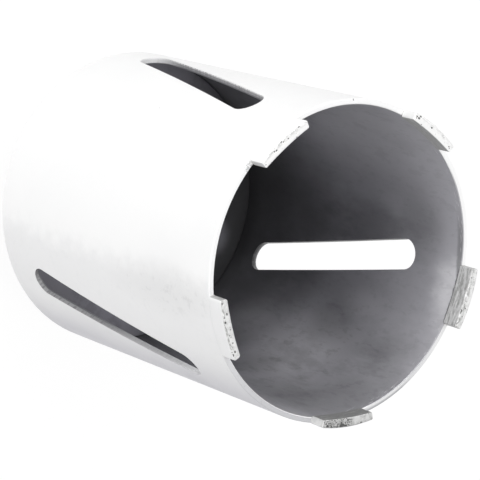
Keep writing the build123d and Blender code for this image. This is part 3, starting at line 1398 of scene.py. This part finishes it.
class Wear(Enum):
    """The state that each of the five cutting segments is in."""

    STREAKED = Surface(
        tip=0.88, inner=0.74, end=0.56, mottled=0.80, pits=0.20e6, band=0.90, band_across=0.25, foot=1.0,
        lines=0.80,
        chips=(Chip(0.27, 0.02, 0.80), Chip(0.06, 0.10, 0.36), Chip(0.34, 0.55, 0.26)),
    )
    CLEAN = Surface(
        tip=0.97, inner=0.50, end=0.98, mottled=0.10, pits=0.10e6, band=0.25,
        chips=(Chip(0.90, 0.52, 0.46), Chip(0.95, 0.60, 0.34), Chip(0.58, 0.55, 0.36), Chip(0.88, 0.80, 0.40),
               Chip(0.08, 0.44, 0.30)),
    )
    SPECKLED = Surface(
        tip=0.97, inner=0.50, end=0.72, mottled=0.10, pits=0.10e6, band=0.62, band_across=0.88,
        chips=(Chip(0.28, 0.03, 0.40), Chip(0.18, 0.92, 0.36), Chip(0.69, 0.58, 0.36), Chip(0.73, 0.68, 0.30),
               Chip(0.42, 0.62, 0.28), Chip(0.55, 0.90, 0.36), Chip(0.52, 0.72, 0.24)),
    )
    SPOTTED = Surface(
        tip=0.82, inner=0.50, end=0.52, mottled=0.45, pits=0.10e6, band=1.0, band_across=0.82, corner=1.0,
        chips=(Chip(0.06, 0.82, 0.40), Chip(0.24, 0.36, 0.38), Chip(0.36, 0.72, 0.42), Chip(0.28, 0.76, 0.24),
               Chip(0.72, 0.44, 0.30), Chip(0.87, 0.52, 0.42), Chip(0.90, 0.86, 0.36)),
    )
    PITTED = Surface(
        tip=0.68, inner=0.27, end=0.80, mottled=0.85, pits=4.2e6, pit_depth=0.80, pitted_end=0.58,
        pitted_tone=0.56, band=1.0, band_across=0.96,
        chips=(Chip(0.38, 0.76, 0.95), Chip(0.45, 0.84, 0.60), Chip(0.10, 0.80, 0.50), Chip(0.37, 0.45, 0.34),
               Chip(0.29, 0.92, 0.45), Chip(0.18, 0.95, 0.45), Chip(0.76, 0.86, 0.36)),
    )


ON_FACE = 0.999  # beyond this a point of the unit block lies on its face
FAR = 9.0  # chip distance where no chip is
CHIP_STRETCH = 1.6  # how much longer a chip is along the rim than across it
CHIP_EDGE = 1.3  # chip distance within which a hollow is as dark as the chip
CHIP_DEPTH = 0.90  # how dark that is
DENSE_PITS = 1e6  # pits in a square metre, beyond which a tip counts as worn open
STRAY_PITS = 0.04  # share of those pits beyond the worn end
FOOT_RISE = 0.22  # how far up the inner face the solder's stain reaches
BAND_REACH = 0.34  # half the width of the rubbed band on the tip
LIT_EDGE = 0.95  # least tone of the tip's inner edge
END_MOTTLE = 0.4  # share of the tip's mottling that the ends have


@dataclass
class CuttingSegment:
    """One sintered block on the rim, and the solder that holds it."""

    number: int
    wear: Wear
    tip_r: float = 0.4 * MM
    inner_relief_end: float = 0.8 * MM
    inner_relief_mid: float = 1.4 * MM
    drawn_in: float = 0.08 * MM
    cell: float = 0.17 * MM
    angle: float = field(init=False)
    half_turn: float = field(init=False)
    outer_r: float = field(init=False)
    foot_z: float = field(init=False)
    tip_z: float = field(init=False)

    def __post_init__(self) -> None:
        """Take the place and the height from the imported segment."""
        low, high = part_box(f"segment_{self.number}")
        self.foot_z = low.z
        self.tip_z = high.z
        self.outer_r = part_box("segment_1")[1].x
        middle = (low + high) / 2
        rough = atan2(middle.y, middle.x)
        corners = [vertex.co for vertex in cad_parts[f"segment_{self.number}"].data.vertices]
        turns = [remainder(atan2(corner.y, corner.x) - rough, tau) for corner in corners]
        self.angle = rough + (min(turns) + max(turns)) / 2
        self.half_turn = (max(turns) - min(turns)) / 2

    def masks(self, point: Vector, barrel: Barrel) -> dict[str, float]:
        """What a point of the block carries for its finish and its pits.

        Args:
            point: its place on the block, from -1 to 1 on each axis.
            barrel: the barrel that the block stands on.
        Returns:
            A number for each attribute.
        """
        look = self.wear.value
        along, across = point.y * 0.5 + 0.5, point.x * 0.5 + 0.5
        tip, inner, outer = point.z > ON_FACE, point.x < -ON_FACE, point.x > ON_FACE
        length = 2 * self.half_turn * barrel.outer_r / CHIP_STRETCH
        thick = self.outer_r - barrel.bore_r + self.inner_relief_end
        dense = look.pits > DENSE_PITS
        pitted = dense and along < look.pitted_end
        tone = look.end
        if tip:
            tone = look.pitted_tone if pitted else look.tip
            if inner:
                tone = max(tone, LIT_EDGE)
        elif inner:
            # the inner face's tone is painted shade
            tone = look.inner
        near = FAR
        for chip in look.chips:
            gap = hypot((along - chip.along) * length, (across - chip.across) * thick) / (chip.reach * MM)
            near = min(near, gap)
        return {
            "tone": tone,
            "tip": float(tip),
            "inner": float(inner and not tip),
            "outer": float(outer and not tip),
            "foot": look.foot * max(0.0, 1.0 - (point.z + 1.0) / FOOT_RISE) if inner else 0.0,
            "mottled": look.mottled if tip else look.lines if inner else look.mottled * END_MOTTLE,
            "pitted": float(tip) * (1.0 if pitted or not dense else STRAY_PITS),
            "chip": near if tip else FAR,
            "band": look.band * max(0.0, 1.0 - abs(across - look.band_across) / BAND_REACH) if tip else 0.0,
            "depth": CHIP_DEPTH if near < CHIP_EDGE else look.pit_depth,
        }

    def block(self, barrel: Barrel) -> Mesh:
        """Evenly meshed block, bent to the rim, with a crowned inner face and rounded edges.

        Args:
            barrel: the barrel that it stands on.
        Returns:
            Its mesh, with the numbers for its finish as attributes.
        """
        tall = self.tip_z - self.drawn_in - self.foot_z
        middle_r = barrel.outer_r - barrel.wall / 2
        outer_r = self.outer_r - self.drawn_in
        thick = outer_r - barrel.bore_r + self.inner_relief_end
        length = 2 * (self.half_turn * middle_r - self.drawn_in)
        cells = (round(thick / self.cell), round(length / self.cell), round(tall / self.cell))
        half = Vector((thick / 2, length / 2, tall / 2))
        points, quads = block_surface(cells)
        corners = []
        for point in points:
            x, y, z = round_block(point, half, self.wear.value.corner * MM, self.tip_r)
            crown = (self.inner_relief_mid - self.inner_relief_end) * (1 - (y / half.y) ** 2)
            inwards = 0.5 - x / thick
            radius = outer_r - inwards * (thick + crown)
            turn = self.angle + y / middle_r
            corners.append((radius * cos(turn), radius * sin(turn), self.foot_z + half.z + z))
        mesh = bpy.data.meshes.new(f"segment_{self.number}_block")
        mesh.from_pydata(corners, [], quads)
        carried = [self.masks(point, barrel) for point in points]
        for name in carried[0]:
            layer = mesh.attributes.new(name, "FLOAT", "POINT")
            layer.data.foreach_set("value", [masks[name] for masks in carried])
        mesh.polygons.foreach_set("use_smooth", [True] * len(mesh.polygons))
        mesh.update()
        return mesh

    def build(self, barrel: Barrel, tree: "PitTree") -> Piece:
        """The block with its pits and grit, standing for the CAD segment.

        Args:
            barrel: the barrel that it stands on.
            tree: the tree that pits the block and sets its grit.
        Returns:
            The segment.
        """
        name = f"cutting_segment_{self.number}"
        piece = tree.make(name, self.block(barrel), Seed=self.number * 7, Pits=self.wear.value.pits)
        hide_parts(f"segment_{self.number}")
        return piece

    def solder_run(self, barrel: Barrel, tree: "SolderTree") -> Piece:
        """Uneven run of solder under the block's inner foot.

        Args:
            barrel: the barrel that it lies on.
            tree: the tree that lays the beads.
        Returns:
            The run of solder.
        """
        piece = tree.make(
            f"solder_run_{self.number}",
            Radius=barrel.bore_r - 0.22 * MM,
            Height=barrel.rim_z - 0.24 * MM,
            Middle=self.angle,
            Half_Turn=self.half_turn - radians(0.5),
            Seed=self.number * 11,
        )
        return piece


def block_surface(cells: tuple[int, int, int]) -> tuple[list[Vector], list[tuple[int, int, int, int]]]:
    """The skin of a block of cells.

    Args:
        cells: how many cells it has along x, y and z.
    Returns:
        Its points, from -1 to 1 on each axis, and quads that face outwards.
    """
    numbers: dict[tuple[int, int, int], int] = {}

    def corner(axis: int, level: int, first: int, second: int) -> int:
        """Number of the point at a level of one axis and two steps along the other two.

        Args:
            axis: the axis that the face is square to.
            level: cells along that axis.
            first: cells along the axis after it.
            second: cells along the last axis.
        Returns:
            The point's number.
        """
        key = [0, 0, 0]
        key[axis] = level
        key[(axis + 1) % 3] = first
        key[(axis + 2) % 3] = second
        return numbers.setdefault(tuple(key), len(numbers))

    quads = []
    for axis in range(3):
        for level in (0, cells[axis]):
            for first in range(cells[(axis + 1) % 3]):
                for second in range(cells[(axis + 2) % 3]):
                    ring = [(first + i, second + j) for i, j in ((0, 0), (1, 0), (1, 1), (0, 1))]
                    if level == 0:
                        ring.reverse()
                    quads.append(tuple(corner(axis, level, *step) for step in ring))
    points = [Vector(2 * key[i] / cells[i] - 1 for i in range(3)) for key in numbers]
    return points, quads


def round_block(point: Vector, half: Vector, corner_r: float, tip_r: float) -> Vector:
    """Round the upright edges and the upper edges of a block.

    Args:
        point: a place on the block, from -1 to 1 on each axis.
        half: half the block's size.
        corner_r: radius of the upright edges.
        tip_r: radius of the edges round its upper face.
    Returns:
        The place, moved on to the rounded skin.
    """
    radii = Vector((corner_r, corner_r, tip_r))
    place = Vector(point[i] * half[i] for i in range(3))
    core = Vector(max(-(half[i] - radii[i]), min(half[i] - radii[i], place[i])) for i in range(3))
    core.z = min(half.z - tip_r, place.z)
    over = Vector((place[i] - core[i]) / radii[i] for i in range(3))
    reach = max(abs(step) for step in over)
    if reach < 1e-9:
        return place
    over.normalize()
    return Vector(core[i] + over[i] * reach * radii[i] for i in range(3))


class PitTree(Fitting):
    """Sinks pits and a fine unevenness into a block, and sets crystals in it."""

    def __init__(self, matrix: Material, crystal: Material) -> None:
        """Build the tree.

        Args:
            matrix: finish of the sintered metal.
            crystal: finish of the diamond grains.
        """
        super().__init__("pits_and_grit", takes_mesh=True)
        self.seed = self.count("Seed", 1)
        density = self.number("Pits", 0.3e6)
        radius = self.number("Pit Radius", 0.34 * MM)
        depth = self.number("Pit Depth", 0.24 * MM)
        uneven = self.number("Unevenness", 0.05 * MM)
        grains = self.number("Grains", 0.30e6)
        grain_r = self.number("Grain Radius", 0.14 * MM)
        sunk = self.sunk(self.pits(self.given.outputs["Geometry"], density, radius), depth, uneven)
        joined = self.bench.node("GeometryNodeJoinGeometry", {0: self.crystals(sunk, grains, grain_r)})
        self.bench.feed(joined.inputs[0], sunk)
        self.finish(joined.outputs[0], matrix, {"grain": crystal})

    def pits(self, block: Socket, density: Signal, radius: Signal) -> Socket:
        """Mark where the pits are.

        Args:
            block: the plain block.
            density: pits in a square metre of a pitted face.
            radius: radius of a middling pit.
        Returns:
            The block with the attribute "pit", which is 1 inside one.
        """
        bench = self.bench
        position = bench.node("GeometryNodeInputPosition").outputs[0]
        holes = self.strewn(block, density * self.held("pitted"), self.seed).outputs["Points"]
        nearest = bench.node("GeometryNodeProximity", {"Geometry": holes}, target_element="POINTS")
        chosen = bench.node("GeometryNodeSampleNearest", {"Geometry": holes})
        spread = self.chance(self.seed, number=chosen.outputs[0])
        ragged = bench.noise(position, 2400.0, 2.0)
        reach = radius * (0.40 + spread * spread * 0.9) * (0.6 + ragged * 0.8)
        small = bench.signal(nearest.outputs["Distance"]).fall(reach * 0.35, reach) * self.held("tip")
        large = (self.held("chip") * (0.62 + ragged * 0.76)).fall(0.55, 1.0)
        return self.marked(block, "pit", small.at_least(large))

    def sunk(self, block: Socket, depth: Signal, uneven: Signal) -> Socket:
        """Push the pits in, and roughen all but the ground outer face.

        Args:
            block: the marked block.
            depth: how deep a pit is.
            uneven: depth of the fine unevenness.
        Returns:
            The moved block.
        """
        position = self.bench.node("GeometryNodeInputPosition").outputs[0]
        normal = self.bench.node("GeometryNodeInputNormal").outputs[0]
        dents = self.bench.noise(position, 1300.0, 4.0) * (1.0 - self.held("outer") * 0.9)
        push = (self.held("pit") * depth + dents * uneven) * -1.0
        return self.moved(block, Offset=self.scaled(normal, push))

    def crystals(self, block: Socket, grains: Signal, grain_r: Signal) -> Socket:
        """Set crystals in the tip and the inner face, most of each below the surface.

        Args:
            block: the pitted block.
            grains: crystals in a square metre.
            grain_r: radius of the largest.
        Returns:
            Instances that carry the mark "grain".
        """
        bench = self.bench
        density = grains * (self.held("tip") * 0.6 + self.held("inner"))
        spots = self.strewn(block, density, self.seed + 100.0)
        share = self.chance(0, 0.35, 1.0)
        inwards = self.scaled(spots.outputs["Normal"], share * grain_r * -0.60)
        sunk = self.moved(spots.outputs["Points"], Offset=inwards)
        grain = bench.node("GeometryNodeMeshIcoSphere", {"Radius": grain_r, "Subdivisions": 1})
        turned = bench.node("FunctionNodeRandomValue", {1: (tau, tau, tau)}, data_type="FLOAT_VECTOR")
        given = {
            "Points": sunk,
            "Instance": self.marked(grain.outputs["Mesh"], "grain", 1.0),
            "Rotation": turned.outputs[0],
            "Scale": share,
        }
        return bench.node("GeometryNodeInstanceOnPoints", given).outputs["Instances"]


class SolderTree(Fitting):
    """Beads of solder, run together along an arc."""

    def __init__(self, material: Material) -> None:
        """Build the tree.

        Args:
            material: the solder.
        """
        super().__init__("solder_beads", takes_mesh=False)
        bench = self.bench
        beads = self.count("Beads", 46)
        radius = self.number("Radius", 0.060)
        height = self.number("Height", 0.170)
        middle = self.number("Middle", 0.0)
        half_turn = self.number("Half Turn", 0.2)
        size = self.number("Bead Radius", 0.36 * MM)
        seed = self.count("Seed", 1)
        row = bench.node("GeometryNodeMeshLine", {"Count": beads})
        index = bench.signal(bench.node("GeometryNodeInputIndex").outputs[0])
        way = index / (beads - 1.0) * 2.0 - 1.0
        stray = self.chance(seed) - 0.5
        angle = middle + (way + stray * 0.03) * half_turn
        out = radius + stray * size * 0.25
        place = bench.vector(out * angle.cosine(), out * angle.sine(), height)
        ball = bench.node("GeometryNodeMeshUVSphere", {"Segments": 10, "Rings": 6, "Radius": size})
        given = {
            "Points": self.moved(row.outputs["Mesh"], Position=place),
            "Instance": self.smoothed(ball.outputs["Mesh"]),
            "Scale": self.chance(seed + 5.0, 0.55, 1.0),
        }
        self.finish(bench.node("GeometryNodeInstanceOnPoints", given).outputs["Instances"], material)


@dataclass
class Rim:
    """The five cutting segments and their braze."""

    wears: tuple[Wear, ...] = (Wear.STREAKED, Wear.CLEAN, Wear.SPECKLED, Wear.SPOTTED, Wear.PITTED)

    def build(self, barrel: Barrel, effects: Effects) -> list[Piece]:
        """Make every segment with its run of solder, and dress the solder under it.

        Args:
            barrel: the barrel that they stand on.
            effects: the shader groups that finishes share.
        Returns:
            The segments and the runs of solder.
        """
        pits = PitTree(GritFinish(effects).material(), CrystalFinish().material())
        solder = SolderFinish(effects, barrel.outer_r).material()
        beads = SolderTree(solder)
        pieces = []
        for number, wear in enumerate(self.wears, start=1):
            segment = CuttingSegment(number, wear)
            pieces.append(segment.build(barrel, pits))
            pieces.append(segment.solder_run(barrel, beads))
            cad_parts[f"braze_{number}"].material_slots[0].material = solder
        return pieces


# ---- Studio ------------------------------------------------------------------------------
@dataclass(frozen=True)
class Lamp:
    """Soft square lamp: where it hangs, its side, and how bright it alone makes a white card look."""

    name: str
    place: tuple[float, float, float]
    size: float
    level: float

    def hang(self, aim: Vector) -> None:
        """Hang the lamp so that it faces a point.

        Args:
            aim: the point that it faces.
        """
        place = Vector(self.place)
        reach = aim - place
        data = bpy.data.lights.new(self.name, "AREA")
        data.size = self.size
        data.energy = self.level * pi ** 2 * reach.length_squared
        lamp = bpy.data.objects.new(self.name, data)
        lamp.location = place
        lamp.rotation_euler = reach.to_track_quat("-Z", "Y").to_euler()
        bpy.context.scene.collection.objects.link(lamp)


@dataclass
class Studio:
    """Plain pale floor, white surroundings and soft lamps."""

    floor_size: float = 6.0
    floor_colour: Colour = (0.74, 0.74, 0.74)
    surround: Colour = (1.0, 1.0, 1.0)
    shadow_share: float = 0.20
    glow: float = 1.12
    ambient: float = 0.50
    lamps: tuple[Lamp, ...] = (
        Lamp("key", (-0.40, 1.60, 1.25), 1.2, 0.325),
        Lamp("fill", (-1.8, -0.2, 0.6), 0.9, 0.36),
        Lamp("top", (-0.2, 0.1, 2.2), 1.0, 0.19),
    )

    def _seen(self, bench: Bench) -> Signal:
        """1 for rays from the camera and for those that metal and glass send on.

        Args:
            bench: the bench of the material or the world.
        Returns:
            The mask.
        """
        path = bench.node("ShaderNodeLightPath")
        seen = bench.signal(path.outputs["Is Camera Ray"])
        for name in ("Is Glossy Ray", "Is Transmission Ray"):
            seen = seen.at_least(path.outputs[name])
        return seen

    def world(self) -> None:
        """White behind the object, and a plain grey level for soft light."""
        world = bpy.data.worlds.new("studio")
        bench = emptied(world)
        strength = self.ambient + self._seen(bench) * (1.0 - self.ambient)
        light = bench.node("ShaderNodeBackground", {"Color": self.surround, "Strength": strength})
        bench.node("ShaderNodeOutputWorld", {"Surface": light.outputs[0]})
        bpy.context.scene.world = world

    def floor(self) -> None:
        """Floor that looks white and keeps a soft shadow."""
        half = self.floor_size / 2
        mesh = bpy.data.meshes.new("floor")
        corners = [(-half, -half, 0), (half, -half, 0), (half, half, 0), (-half, half, 0)]
        mesh.from_pydata(corners, [], [(0, 1, 2, 3)])
        floor = bpy.data.objects.new("floor", mesh)
        bpy.context.scene.collection.objects.link(floor)
        material = bpy.data.materials.new("pale_floor")
        bench = emptied(material)
        matt = bench.node("ShaderNodeBsdfDiffuse", {"Color": self.floor_colour})
        glow = bench.node("ShaderNodeEmission", {"Strength": self.glow})
        share = self._seen(bench) * (1.0 - self.shadow_share)
        mix = bench.node("ShaderNodeMixShader", {0: share, 1: matt.outputs[0], 2: glow.outputs[0]})
        bench.node("ShaderNodeOutputMaterial", {"Surface": mix.outputs[0]})
        mesh.materials.append(material)

    def build(self, centre: Vector) -> None:
        """Set up the floor, the world and the lamps.

        Args:
            centre: the point that the lamps face.
        """
        self.world()
        self.floor()
        for lamp in self.lamps:
            lamp.hang(centre)
        bpy.context.scene.view_settings.view_transform = "Standard"


@dataclass
class ViewCamera:
    """Camera that looks down into the bit from beside it, rolled so that the bit lies on its side."""

    aim: Vector = field(default_factory=lambda: Vector((-0.15 * MM, -3.41 * MM, 105.78 * MM)))
    distance: float = 936.7 * MM
    bearing: float = radians(179.265)
    elevation: float = radians(51.824)
    roll: float = radians(107.089)
    lens: float = 173.64
    sensor: float = 36.0

    def build(self) -> None:
        """Place the camera."""
        level = cos(self.elevation)
        outwards = Vector((level * cos(self.bearing), level * sin(self.bearing), sin(self.elevation)))
        data = bpy.data.cameras.new("view")
        data.lens = self.lens
        data.sensor_width = self.sensor
        camera = bpy.data.objects.new("view", data)
        camera.location = self.aim + outwards * self.distance
        camera.rotation_mode = "QUATERNION"
        tilt = (-outwards).to_track_quat("-Z", "Y")
        camera.rotation_quaternion = tilt @ Quaternion((0, 0, 1), self.roll)
        bpy.context.scene.collection.objects.link(camera)
        bpy.context.scene.camera = camera


def main() -> None:
    """Build and dress every piece in order."""
    logging.basicConfig(level=logging.INFO)
    effects = Effects()
    barrel = Barrel()
    barrel.dress(effects)
    hub = Hub()
    hub.dress(effects)
    weld_metal = WeldFinish(effects).material()
    pieces = [hub.thread(), hub.weld(weld_metal), RearSeam().build(weld_metal)]
    pieces += Rim().build(barrel, effects)
    for piece in pieces:
        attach(piece, BODY)
        log.info("%s: %d faces", piece.name, len(piece.data.polygons))
    ViewCamera().build()
    Studio().build(Vector((0.0, 0.0, (barrel.rear_z + barrel.rim_z) / 2)))


if __name__ == "__main__":
    main()
